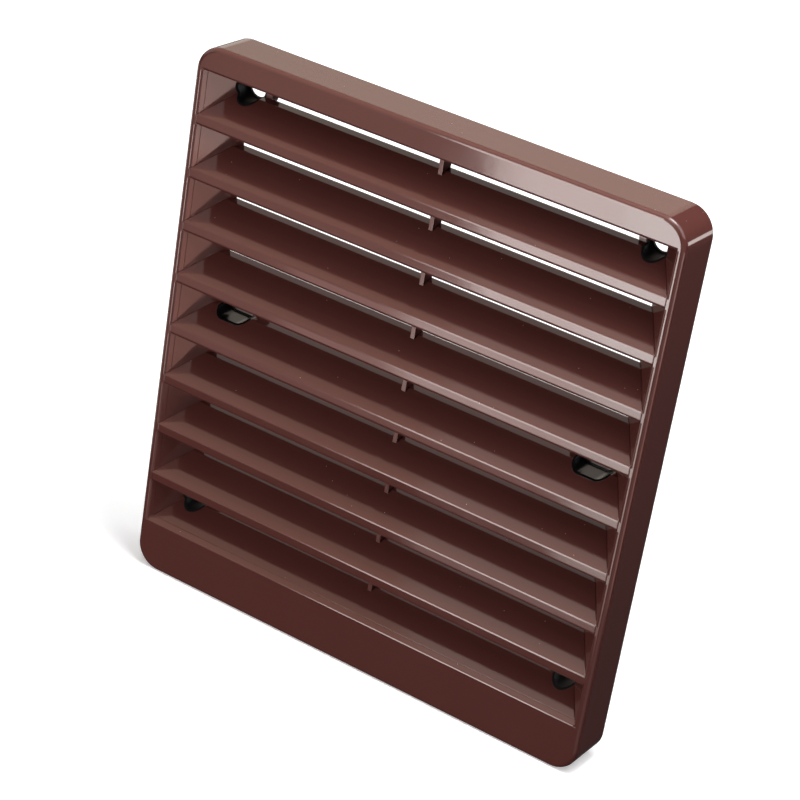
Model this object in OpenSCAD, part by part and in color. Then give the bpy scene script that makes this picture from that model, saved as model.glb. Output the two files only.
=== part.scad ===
// Louvred wall vent: a shallow moulded frame with fixed sloping louvres between splayed side
// panels, a centre rib that ties the louvres together, and six screw channels lined with bushes.
// X runs to the right, Y into the wall and Z up. The origin is the centre of the back face.

/* [Outside] */
// Width of the vent
vent_w = 230; // [190:1:300]
// Height of the vent
vent_h = 245.6; // [236:0.1:320]
// Depth from the wall to the front face
vent_depth = 22.3; // [21.5:0.1:30]
// Radius of the four outer corners, seen from the front
corner_r = 11.4; // [6:0.1:14]
// Radius of the rounded front edge
edge_r = 2; // [0.5:0.1:2.1]
// Thickness of the front face and the outer walls
wall_t = 2.2; // [2.1:0.1:3]

/* [Front face] */
// Height of the plain band above the first slot
header_h = 11.3; // [8:0.1:16]
// Height of the plain band below the last slot
apron_h = 23; // [20:0.1:30]
// Width of the rail at each side of the slots
rail_w = 3.25; // [3:0.05:6]
// Radius of the rail's inner edge beside each slot
rail_r = 1.5; // [0.5:0.1:2]

/* [Louvres] */
// Number of louvres between the header and the sill
louvre_count = 8; // [5:1:8]
// Thickness of the louvre plates
louvre_t = 2; // [1.6:0.1:2.4]
// Height of the upright lip at a louvre's front edge
lip_h = 4.3; // [3:0.1:5]
// Thickness of that lip
lip_t = 2; // [1.8:0.1:2.6]
// Radius of the lip's top edge
lip_r = 1; // [0.4:0.1:1.4]
// Radius of the lower front edge of each lip and of the header
foot_r = 1.2; // [0.4:0.1:1.6]
// Depth of the louvres behind the front face
louvre_depth = 17.6; // [16:0.1:18.5]
// Depth at which the steep part of a louvre ends
bend_depth = 13.75; // [12:0.05:15]
// Slope of the steep part above the horizontal, in degrees
slope = 36.3; // [30:0.1:38]
// Slope of the nearly flat tail, in degrees
tail_slope = 8.5; // [4:0.5:14]
// Angle of the side panels away from straight back, in degrees
splay = 37.2; // [25:0.1:40]
// Thickness of the side panels
panel_t = 2; // [1.6:0.1:2.4]
// Thickness of the shelf behind the header
shelf_t = 2.2; // [1.8:0.1:3]

/* [Centre rib] */
// Thickness of the rib that crosses the louvres
rib_t = 2; // [1.6:0.1:3]
// Depth of the rib's front edge behind the front face
rib_front = 11.7; // [9:0.1:13.5]

/* [Screw channels] */
// Height of a channel's centre above the lip of its louvre
channel_rise = 13.1; // [12.4:0.1:13.4]
// Distance from the side of the vent to the centre of a corner channel
corner_inset = 18.5; // [17:0.1:24]
// Distance from the side of the vent to the centre of a middle channel
middle_inset = 25.75; // [23:0.05:32]
// Straight length of the slotted middle channels
slot_travel = 6.7; // [4:0.1:9]
// Radius of a channel, which its bush fills
channel_r = 6.1; // [5.6:0.1:6.4]
// Wall of the moulded boss around a channel
boss_t = 3.2; // [2:0.1:3.4]
// Wall of the bush
bush_t = 0.7; // [0.5:0.1:1.2]
// Radius of the screw hole in the bush's floor
screw_r = 4.65; // [3:0.05:4.8]
// Thickness of the bush's floor
floor_t = 1.2; // [1:0.1:2]
// Distance that the bush stops short of the wall
wall_gap = 0.8; // [0.6:0.1:2]

/* [Hidden] */
$fn = 64;
past = 1;
brown = [0.33, 0.2, 0.175];
black = [0.05, 0.05, 0.055];

half_w = vent_w / 2;
half_h = vent_h / 2;
opening_half = half_w - rail_w;
header_z = half_h - header_h;
sill_z = -half_h + apron_h;
pitch = (header_z - sill_z + lip_h) / (louvre_count + 1);
slot_h = pitch - lip_h;
lip_rise = 0.3 * lip_r;
sill_row = louvre_count + 1;
middle_row = floor((louvre_count + 2) / 2);
panel_across = panel_t / cos(splay);
panel_foot = sill_z + steep_under(wall_t);
boss_front = (channel_rise - channel_r - boss_t - lip_rise + louvre_t / cos(slope)) / tan(slope);
floor_back = vent_depth - wall_gap;
rows = ["top", "middle", "bottom"];
sides = ["left", "right"];
louvre_names = [for (row = [1:louvre_count]) str("louvre_", row)];
boss_names = [for (height = rows, side = sides) str("boss_", height, "_", side)];
bush_names = [for (height = rows, side = sides) str("bush_", height, "_", side)];

// Height of the lip of a louvre, or of the sill as the last row
function row_z(row) = header_z - slot_h - (row - 1) * pitch;
function row_of(height) = height == "top" ? 1 : height == "middle" ? middle_row : sill_row;
function travel_of(height) = height == "middle" ? slot_travel : 0;
function inset_of(height) = height == "middle" ? middle_inset : corner_inset;

// Half width of the space between the splayed panels at a depth
function half_at(depth) = opening_half - depth * tan(splay);

// Heights of a louvre's two faces above its lip: the steep part, then the tail
function steep_top(depth) = lip_rise + depth * tan(slope);
function steep_under(depth) = steep_top(depth) - louvre_t / cos(slope);
function tail_top(depth) = steep_top(bend_depth) + (depth - bend_depth) * tan(tail_slope);
function tail_under(depth) = tail_top(depth) - louvre_t / cos(tail_slope);
under_bend = bend_depth + louvre_t * (cos(tail_slope) - cos(slope)) / sin(slope - tail_slope);

// Extrusions along each axis. A profile along X is drawn as depth and height, one along Z
// as x and depth, and one along Y as x and height.
module along_x(from, to) {
    translate([from, -vent_depth, 0]) rotate([90, 0, 90]) linear_extrude(to - from) children();
}
module along_y(from, to) {
    translate([0, to - vent_depth, 0]) rotate([90, 0, 0]) linear_extrude(to - from) children();
}
module along_z(from, to) {
    translate([0, -vent_depth, from]) linear_extrude(to - from) children();
}

// What is drawn for the left side, in place on either side
module on_side(side) {
    mirror([side == "right" ? 1 : 0, 0, 0]) children();
}

// The tip that a radius takes off a corner between two faces, given by their outward directions
function heading(angle) = [cos(angle), sin(angle)];
function reach(a, b) = (heading(a) + heading(b)) / (1 + cos(a - b));
module round_off(tip, a, b, r) {
    translate(tip - r * reach(a, b)) difference() {
        polygon([[0, 0], (r + past) * heading(a), (r + past) * reach(a, b), (r + past) * heading(b)]);
        circle(r);
    }
}

// Outside of the frame: two crossing slabs, and a turned piece in each corner
module shell_body() {
    straight_w = half_w - corner_r;
    straight_h = half_h - corner_r;
    along_x(-straight_w, straight_w) difference() {
        translate([0, -half_h]) square([vent_depth, vent_h]);
        round_off([0, half_h], 180, 90, edge_r);
        round_off([0, -half_h], 180, 270, edge_r);
    }
    along_z(-straight_h, straight_h) difference() {
        translate([-half_w, 0]) square([vent_w, vent_depth]);
        round_off([-half_w, 0], 180, 270, edge_r);
        round_off([half_w, 0], 0, -90, edge_r);
    }
    for (across = [0, 1], down = [0, 1])
        mirror([across, 0, 0]) mirror([0, 0, down])
            translate([straight_w, -vent_depth, straight_h])
                rotate([-90, 0, 0]) rotate(-90) rotate_extrude(angle = 90) difference() {
                    square([corner_r, vent_depth]);
                    round_off([corner_r, 0], 0, -90, edge_r);
                }
}

// The hollow behind the front face, inside the outer walls
module shell_hollow() {
    inner_w = half_w - wall_t;
    inner_h = half_h - wall_t;
    along_y(wall_t, vent_depth + past) difference() {
        square([2 * inner_w, 2 * inner_h], center = true);
        for (across = [0, 1], down = [0, 1])
            mirror([across, 0]) mirror([0, down]) round_off([inner_w, inner_h], 0, 90, corner_r - wall_t);
    }
}

// Plan of the space between the splayed panels, from one depth to another, grown at the sides
module plan(from, to, grow = 0) {
    polygon([
        [-half_at(from) - grow, from], [half_at(from) + grow, from],
        [half_at(to) + grow, to], [-half_at(to) - grow, to]
    ]);
}

// Section of the space above a louvre's top face, from before the front to the louvre's back edge
module above(row, top) {
    z = row_z(row);
    polygon([
        [-past, z + steep_top(-past)], [bend_depth, z + steep_top(bend_depth)],
        [louvre_depth, z + tail_top(louvre_depth)], [louvre_depth, top], [-past, top]
    ]);
    round_off([0, z + lip_rise], 180, 90 + slope, lip_r);
}

// The open space over one louvre, inside the panels
module air(row) {
    intersection() {
        along_x(-half_w, half_w) above(row, half_h);
        along_z(-half_h, half_h) plan(-past, louvre_depth + past);
    }
}

// All that lies above a louvre's underside, out to the middle of the panels
module in_front(row) {
    z = row_z(row);
    intersection() {
        along_x(-half_w, half_w) polygon([
            [-past, z + steep_under(-past)], [under_bend, z + steep_under(under_bend)],
            [louvre_depth, z + tail_under(louvre_depth)], [louvre_depth, half_h], [-past, half_h]
        ]);
        along_z(-half_h, half_h) plan(-past, louvre_depth + past, panel_across / 2);
    }
}

// Outline of a screw channel on the left, grown by a margin
module channel(height, grow) {
    r = channel_r + grow;
    travel = travel_of(height);
    translate([inset_of(height) - half_w, row_z(row_of(height)) + channel_rise]) {
        translate([-travel / 2, 0]) circle(r);
        translate([travel / 2, 0]) circle(r);
        if (travel > 0) square([travel, 2 * r], center = true);
    }
}

// A channel right through the vent, and the two that pass through a row
module channel_cut(height) {
    along_y(-past, vent_depth + past) channel(height, 0);
}
module row_channels(row) {
    for (height = rows, side = sides)
        if (row_of(height) == row) on_side(side) channel_cut(height);
}

// Moulded frame: front face, four outer walls and the opening with its rounded rails
module frame() {
    color(brown) difference() {
        shell_body();
        shell_hollow();
        intersection() {
            along_x(-half_w, half_w) {
                above(sill_row, header_z);
                round_off([0, header_z], 180, 270, foot_r);
            }
            along_z(-half_h, half_h) plan(-past, wall_t + past);
        }
        for (row = [1:sill_row], side = sides)
            on_side(side) along_z(row_z(row), row_z(row) + slot_h)
                round_off([-opening_half, 0], -90, -splay, rail_r);
    }
}

// Splayed panel behind the left rail, which carries the louvre ends
module panel_plate() {
    along_z(panel_foot, header_z + shelf_t) intersection() {
        polygon([
            [-half_at(wall_t), wall_t], [-half_at(louvre_depth), louvre_depth],
            [-half_at(louvre_depth) - panel_across, louvre_depth],
            [-half_at(wall_t) - panel_across, wall_t]
        ]);
        translate([wall_t - half_w, 0]) square([half_w, vent_depth]);
    }
}
module side_panel(side) {
    color(brown) on_side(side) difference() {
        panel_plate();
        for (height = rows) channel_cut(height);
    }
}

// Flat shelf behind the header
module head_shelf() {
    color(brown) along_z(header_z, header_z + shelf_t) plan(wall_t, louvre_depth);
}

// Solid of one louvre, without its notch and channels; the sill is the same plate without a lip
module louvre_plate(row) {
    z = row_z(row);
    front = row == sill_row ? wall_t : 0;
    foot = row == sill_row ? steep_under(wall_t) : -lip_h;
    step = row == sill_row ? wall_t : lip_t;
    intersection() {
        along_x(-half_w, half_w) difference() {
            polygon([
                [front, z + foot], [step, z + foot], [step, z + steep_under(step)],
                [under_bend, z + steep_under(under_bend)], [louvre_depth, z + tail_under(louvre_depth)],
                [louvre_depth, z + tail_top(louvre_depth)], [bend_depth, z + steep_top(bend_depth)],
                [front, z + steep_top(front)]
            ]);
            if (row != sill_row) {
                round_off([0, z + lip_rise], 180, 90 + slope, lip_r);
                round_off([0, z - lip_h], 180, 270, foot_r);
            }
        }
        along_z(-half_h, half_h) plan(-past, louvre_depth + past);
    }
}
module louvre(row) {
    color(brown) difference() {
        louvre_plate(row);
        along_z(-half_h, half_h) translate([-rib_t / 2, rib_front]) square([rib_t, vent_depth]);
        row_channels(row);
    }
}
module sill() {
    color(brown) difference() {
        louvre_plate(sill_row);
        row_channels(sill_row);
    }
}

// Upright rib that stands on the sill, crosses every louvre and meets the shelf
module centre_rib() {
    color(brown) along_x(-rib_t / 2, rib_t / 2) polygon([
        [rib_front, sill_z + steep_top(rib_front)], [bend_depth, sill_z + steep_top(bend_depth)],
        [louvre_depth, sill_z + tail_top(louvre_depth)], [louvre_depth, header_z], [rib_front, header_z]
    ]);
}

// Boss around a screw channel, from the louvre's underside and the panel's back to the wall
module boss(height, side) {
    color(brown) on_side(side) difference() {
        along_y(boss_front, vent_depth) channel(height, boss_t);
        channel_cut(height);
        in_front(row_of(height));
        panel_plate();
    }
}

// Bush that lines a channel: a sleeve cut flush with the louvre, with a holed floor near the wall
module bush(height, side) {
    color(black) on_side(side) difference() {
        along_y(0, floor_back) channel(height, 0);
        along_y(-past, floor_back - floor_t) channel(height, -bush_t);
        along_y(-past, vent_depth) channel(height, screw_r - channel_r);
        air(row_of(height));
    }
}

frame();
for (side = sides)
    side_panel(side);
head_shelf();
sill();
centre_rib();
for (row = [1:louvre_count])
    louvre(row);
for (height = rows, side = sides) {
    boss(height, side);
    bush(height, side);
}
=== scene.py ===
import math

import bpy
from mathutils import Matrix, Vector


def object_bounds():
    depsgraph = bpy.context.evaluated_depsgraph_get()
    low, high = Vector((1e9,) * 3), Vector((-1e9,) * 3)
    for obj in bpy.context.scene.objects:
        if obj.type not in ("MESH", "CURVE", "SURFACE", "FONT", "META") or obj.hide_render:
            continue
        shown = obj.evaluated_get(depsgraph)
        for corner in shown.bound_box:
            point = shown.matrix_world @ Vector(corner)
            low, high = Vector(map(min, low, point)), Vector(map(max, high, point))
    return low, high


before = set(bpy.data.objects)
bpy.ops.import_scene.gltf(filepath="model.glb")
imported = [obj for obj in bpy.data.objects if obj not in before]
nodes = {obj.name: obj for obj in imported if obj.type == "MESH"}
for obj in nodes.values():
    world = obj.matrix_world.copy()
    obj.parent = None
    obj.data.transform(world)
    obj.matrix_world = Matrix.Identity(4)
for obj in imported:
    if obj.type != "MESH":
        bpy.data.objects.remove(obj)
solid_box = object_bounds()


# The moulded frame: the front face with its four outer walls and the rails beside the slots.
# It is injection moulded in brown plastic and comes out of a polished mould, so it mirrors the
# studio with a faint ripple. A little dust has settled on what faces up.
class Shade:
    """A number or colour that varies over a piece. Sums and products of it are written out."""

    def __init__(self, tree, socket=None):
        self.tree, self.socket = tree, socket

    def add(self, kind, settings=(), sockets=(), out=0):
        node = self.tree.nodes.new("ShaderNode" + kind)
        for name, value in dict(settings).items():
            setattr(node, name, value)
        for name, value in dict(sockets).items():
            if isinstance(value, Shade):
                self.tree.links.new(value.socket, node.inputs[name])
            else:
                node.inputs[name].default_value = value
        return Shade(self.tree, node.outputs[out] if node.outputs else None)

    def maths(self, operation, *values):
        return self.add("Math", {"operation": operation}, enumerate(values))

    def __add__(self, other):
        return self.maths("ADD", self, other)

    def __sub__(self, other):
        return self.maths("SUBTRACT", self, other)

    def __rsub__(self, other):
        return self.maths("SUBTRACT", other, self)

    def __mul__(self, other):
        return self.maths("MULTIPLY", self, other)

    def __lt__(self, other):
        return self.maths("LESS_THAN", self, other)

    def __gt__(self, other):
        return self.maths("GREATER_THAN", self, other)

    __radd__, __rmul__ = __add__, __mul__

    def place(self):
        return self.add("TexCoord", out="Object")

    def along(self, vector, axis):
        return self.add("SeparateXYZ", (), {0: vector}, axis)

    def noise(self, scale, detail):
        pattern = {"Vector": self.place(), "Scale": scale, "Detail": detail}
        return self.add("TexNoise", (), pattern, "Fac")

    def colour(self, plain, marked):
        """plain where this mask is 0, marked where it is 1"""
        return self.add("Mix", {"data_type": "RGBA"}, {0: self, 6: plain, 7: marked}, 2)


def finish(name, surface, *pieces):
    """The finish that the function surface makes, put on pieces given by name or as objects"""
    made = bpy.data.materials.new(name)
    made.use_nodes = True
    made.node_tree.nodes.clear()
    start = Shade(made.node_tree)
    start.add("OutputMaterial", (), {"Surface": surface(start)})
    for piece in pieces:
        piece = nodes.get(piece, piece)
        piece.data.materials.clear()
        piece.data.materials.append(made)


def brown_plastic(deep, pale, polish=0.08, soft=0.00025, sink=0.0):
    """Plastic in patches of two browns. Its edges are rounded by soft, and over the rib it has
    a shallow dip, sink deep, both in metres."""
    def surface(start):
        upward = start.along(start.add("NewGeometry", out="Normal"), 2)

        # dust: small specks in a few cells of 1.6 mm, on what faces up
        cells = {"Vector": start.place(), "Scale": 620.0}
        from_centre = start.add("TexVoronoi", (), cells, "Distance")
        chance = start.along(start.add("TexVoronoi", (), cells, "Color"), 0)
        speck_size, clean_share, dust, dust_roughness = 0.1, 0.982, (0.34, 0.27, 0.25, 1), 0.4
        speck = (from_centre < speck_size) * (chance > clean_share) * (upward > 0.25)

        patches = start.noise(24, 3)
        colour = speck.colour(patches.colour((*deep, 1), (*pale, 1)), dust)

        spread = 0.08
        worn = start.noise(70, 4) * spread + (polish - spread / 2)

        # the ripple of the mould and a much finer grain, then the dip over the rib
        ripple, grain_share = 0.000006, 0.06
        height = (start.noise(300, 1.5) + start.noise(1900, 2) * grain_share) * ripple
        if sink:
            dip_reach, level_enough = 0.0024, 0.6
            across = start.along(start.place(), 0) * (1 / dip_reach)
            dip = start.maths("EXPONENT", across * across * -1) * (upward > level_enough)
            height = height - dip * sink

        soft_edges = start.add("Bevel", {"samples": 6}, {"Radius": soft})
        bump = start.add("Bump", (), {"Strength": 1.0, "Distance": 1.0,
                                      "Height": height, "Normal": soft_edges})
        return start.add("BsdfPrincipled", (), {
            "Base Color": colour, "Roughness": worn + speck * dust_roughness,
            "IOR": 1.5, "Normal": bump})
    return surface


deep_brown, pale_brown = (0.081, 0.0266, 0.0226), (0.090, 0.0297, 0.0252)
finish("frame_brown", brown_plastic(deep_brown, pale_brown), "frame")


# The splayed panels behind the rails and the shelf behind the header close the opening at its
# sides and top. They belong to the same moulding, and carry the ends of the louvres.
finish("panel_brown", brown_plastic(deep_brown, pale_brown),
       "side_panel_left", "side_panel_right", "head_shelf")


# Eight fixed louvres and the sill: thin plates that slope up towards the wall and end in a
# flatter tail, each with an upright lip in front. Their tops are as glossy as the face, and
# have sunk a little over the rib, where the plastic is thicker.
louvres = [name for name in sorted(nodes) if name.startswith("louvre_")] + ["sill"]
finish("louvre_brown", brown_plastic(deep_brown, pale_brown, soft=0.0006, sink=0.00005), *louvres)


# The centre rib crosses every louvre behind its lip and keeps the long plates from sagging. It
# is a thin strip of the same moulding, less polished. Its browns are painted a little paler than
# the frame's, as painted light on its front.
finish("rib_brown", brown_plastic((0.094, 0.0315, 0.0270), (0.105, 0.0355, 0.0304), polish=0.15),
       "centre_rib")


# Six bosses stand between the panels and the wall around the screw channels. They are seen
# from behind and through the slots, and are left as the mould made them, less polished.
bosses = [name for name in sorted(nodes) if name.startswith("boss_")]
finish("boss_brown", brown_plastic((0.079, 0.0260, 0.0221), (0.088, 0.0291, 0.0247), polish=0.24),
       *bosses)


# The bushes that line the channels are of a black plastic and pressed in. The four round ones in
# the corners are turned and nearly matt. The two slotted ones are moulded and smooth.
def black_plastic(polish, sheen):
    def surface(start):
        handled, spread, grain_depth = start.noise(160, 4), 0.1, 0.000005
        colour = handled.colour((0.0022, 0.0024, 0.0028, 1), (0.0046, 0.0048, 0.0055, 1))
        soft_edges = start.add("Bevel", {"samples": 6}, {"Radius": 0.0002})
        bump = start.add("Bump", (), {"Strength": 1.0, "Distance": grain_depth,
                                      "Height": start.noise(800, 2), "Normal": soft_edges})
        return start.add("BsdfPrincipled", (), {
            "Base Color": colour, "Roughness": handled * spread + (polish - spread / 2),
            "IOR": 1.38, "Specular IOR Level": sheen, "Normal": bump})
    return surface


bushes = [name for name in sorted(nodes) if name.startswith("bush_")]
slotted = [name for name in bushes if "middle" in name]
turned = [name for name in bushes if name not in slotted]
finish("bush_black", black_plastic(polish=0.55, sheen=0.25), *turned)
finish("slotted_bush_black", black_plastic(polish=0.24, sheen=0.35), *slotted)


# The studio floor: plain and pale. The camera sees it white, with the vent's shadow. Light
# passes it, so that it throws little glare up at the vent.
floor_height, reach = solid_box[0][2], 4.0
corners = [(x * reach, y * reach, floor_height) for x, y in ((-1, -1), (1, -1), (1, 1), (-1, 1))]
floor_mesh = bpy.data.meshes.new("floor")
floor_mesh.from_pydata(corners, [], [(0, 1, 2, 3)])
floor = bpy.data.objects.new("floor", floor_mesh)
bpy.context.scene.collection.objects.link(floor)


def looked_at(start):
    """1 for what is seen directly or through something clear, and 0 for what lights the vent"""
    return start.maths("MAXIMUM", start.add("LightPath", out="Is Camera Ray"),
                       start.add("LightPath", out="Is Transmission Ray"))


def pale_floor(start):
    glare, brighter_per_metre = 0.02, 1.1
    share = looked_at(start) + start.add("LightPath", out="Is Glossy Ray") * glare
    away = start.add("VectorMath", {"operation": "LENGTH"}, {0: start.place()}, "Value")
    far = start.maths("MINIMUM", away * brighter_per_metre, 1)
    glow = far.colour((0.24, 0.24, 0.24, 1), (0.95, 0.95, 0.95, 1))
    white = start.add("AddShader", (), {
        0: start.add("BsdfDiffuse", (), {"Color": (0.97, 0.97, 0.97, 1)}),
        1: start.add("Emission", (), {"Color": glow, "Strength": 1.0})})
    return start.add("MixShader", (), {0: share, 1: start.add("BsdfTransparent"), 2: white})


finish("pale_floor", pale_floor, floor)


# The room is white to look at. In the vent it is mirrored as a warm white ceiling, brightest
# overhead and duller behind, that stops short of the right, where the studio is dark.
world = bpy.data.worlds.new("studio")
bpy.context.scene.world = world
world.use_nodes = True
world.node_tree.nodes.clear()
room = Shade(world.node_tree)
towards = room.add("TexCoord", out="Generated")
right, back, up = (room.along(towards, axis) for axis in range(3))
ceiling = (up > 0) * (right + back * 0.2 < -0.05)
overhead = (back > 0.3).colour((1.35, 0.9, 0.7, 1), (0.74, 0.63, 0.58, 1))
warm_white = (up > 0.56).colour((0.98, 0.84, 0.71, 1), overhead)
dark = (0.02, 0.02, 0.022, 1)
mirrored = (ceiling * room.add("LightPath", out="Is Glossy Ray")).colour(dark, warm_white)
room_light = room.add("Background", (), {
    "Color": looked_at(room).colour(mirrored, (1, 1, 1, 1)), "Strength": 1.0})
room.add("OutputWorld", (), {"Surface": room_light})


# Softboxes around the vent. The strongest hang over it and close by its top right, and a tall
# one stands low in front on the left, which the right half of the front face mirrors.
def softbox(name, place, width, height, glow, tint=(1, 1, 1), aim=(0, 0, 0)):
    """A box as bright as glow times white paper"""
    lamp = bpy.data.lights.new(name, "AREA")
    lamp.shape, lamp.size, lamp.size_y = "RECTANGLE", width, height
    lamp.energy, lamp.color = glow * width * height * math.pi, tint
    box = bpy.data.objects.new(name, lamp)
    box.visible_camera = False
    bpy.context.scene.collection.objects.link(box)
    back = (Vector(place) - Vector(aim)).normalized()
    turned_to = back.to_track_quat("Z", "Y").to_matrix().to_4x4()
    box.matrix_world = Matrix.Translation(place) @ turned_to


softbox("overhead", (0.17, 0, 1.6), 0.68, 0.68, 6.8)
softbox("top_close", (0.16, -0.09, 0.52), 0.2, 0.2, 11.2)
softbox("right_close", (0.36, -0.11, 0.4), 0.38, 0.38, 2.6)
softbox("top_wide", (0.14, -0.07, 0.54), 0.72, 0.72, 0.65)


# Those in front face straight back, each at its own distance so that none covers another.
# The front of the frame and the lips mirror them as bands of light.
def front_box(name, place, width, height, glow, tint):
    softbox(name, place, width, height, glow, tint, aim=(place[0], 0, place[2]))


front_box("front_tall", (-0.57, -1.4, 0.065), 0.3, 1.37, 9.3, (1, 0.92, 0.89))
front_box("front_tall_edge", (-0.42, -1.42, -0.25), 0.3, 1.0, 2.3, (1, 0.97, 0.93))
front_box("front_middle", (-0.62, -1.39, -0.685), 0.34, 0.13, 5.2, (1, 0.87, 0.83))
front_box("front_middle_left", (-0.86, -1.39, -0.685), 0.16, 0.13, 1.7, (1, 0.66, 0.6))
front_box("front_lower", (-0.48, -1.4, -0.81), 0.16, 0.12, 5.3, (1, 0.88, 0.83))
front_box("front_floor", (-0.6, -1.4, -0.905), 0.28, 0.07, 2.4, (1, 0.75, 0.7))
front_box("front_wall", (-0.87, -1.44, -0.4), 0.56, 0.9, 1.35, (1, 0.57, 0.5))


# The rest fill in around the vent. The wide one behind lights its back, and the left panel
# mirrors the two low ones on the right.
softbox("front_low", (0.81, -1.18, -0.48), 1.36, 1.2, 0.33)
softbox("back_low", (-0.55, 1.4, -0.34), 1.8, 1.8, 0.25)
softbox("back_fill", (0.05, 1.9, -0.08), 1.3, 0.7, 7.5)
softbox("left_low", (-1.4, -0.2, -0.47), 0.9, 0.5, 1.3, (1, 0.88, 0.82))
softbox("top_front", (0.1, -0.9, 1.3), 0.6, 0.6, 2.0)
softbox("right_low", (1.362, -0.496, -0.388), 0.6, 0.25, 3.9, (1, 0.69, 0.62))
softbox("right_floor", (1.288, -0.469, -0.61), 0.6, 0.25, 2.6, (1, 0.5, 0.42))
softbox("glint_back", (1.029, 1.713, -0.07), 0.36, 0.25, 4.2, (1, 0.92, 0.88))


# The camera stands to the right of the vent and above it, turned a little to its left. Its
# long lens keeps the edges of the vent nearly parallel.
stand, target = Vector((0.4712, -0.83574, 0.45939)), Vector((0.00596, -0.02231, 0.00699))
tilt = math.radians(-9.587)
ahead = (target - stand).normalized()
upright = (Vector((0, 0, 1)) - ahead * ahead.z).normalized()
top = upright * math.cos(tilt) + ahead.cross(upright) * math.sin(tilt)
lens = bpy.data.cameras.new("camera")
lens.sensor_width, lens.lens = 36, 115.508
lens.clip_start, lens.clip_end = 0.05, 50
camera = bpy.data.objects.new("camera", lens)
bpy.context.scene.collection.objects.link(camera)
turned_to = Matrix([ahead.cross(top), top, -ahead]).transposed().to_4x4()
camera.matrix_world = Matrix.Translation(stand) @ turned_to
bpy.context.scene.camera = camera
bpy.context.scene.view_settings.view_transform = "Standard"
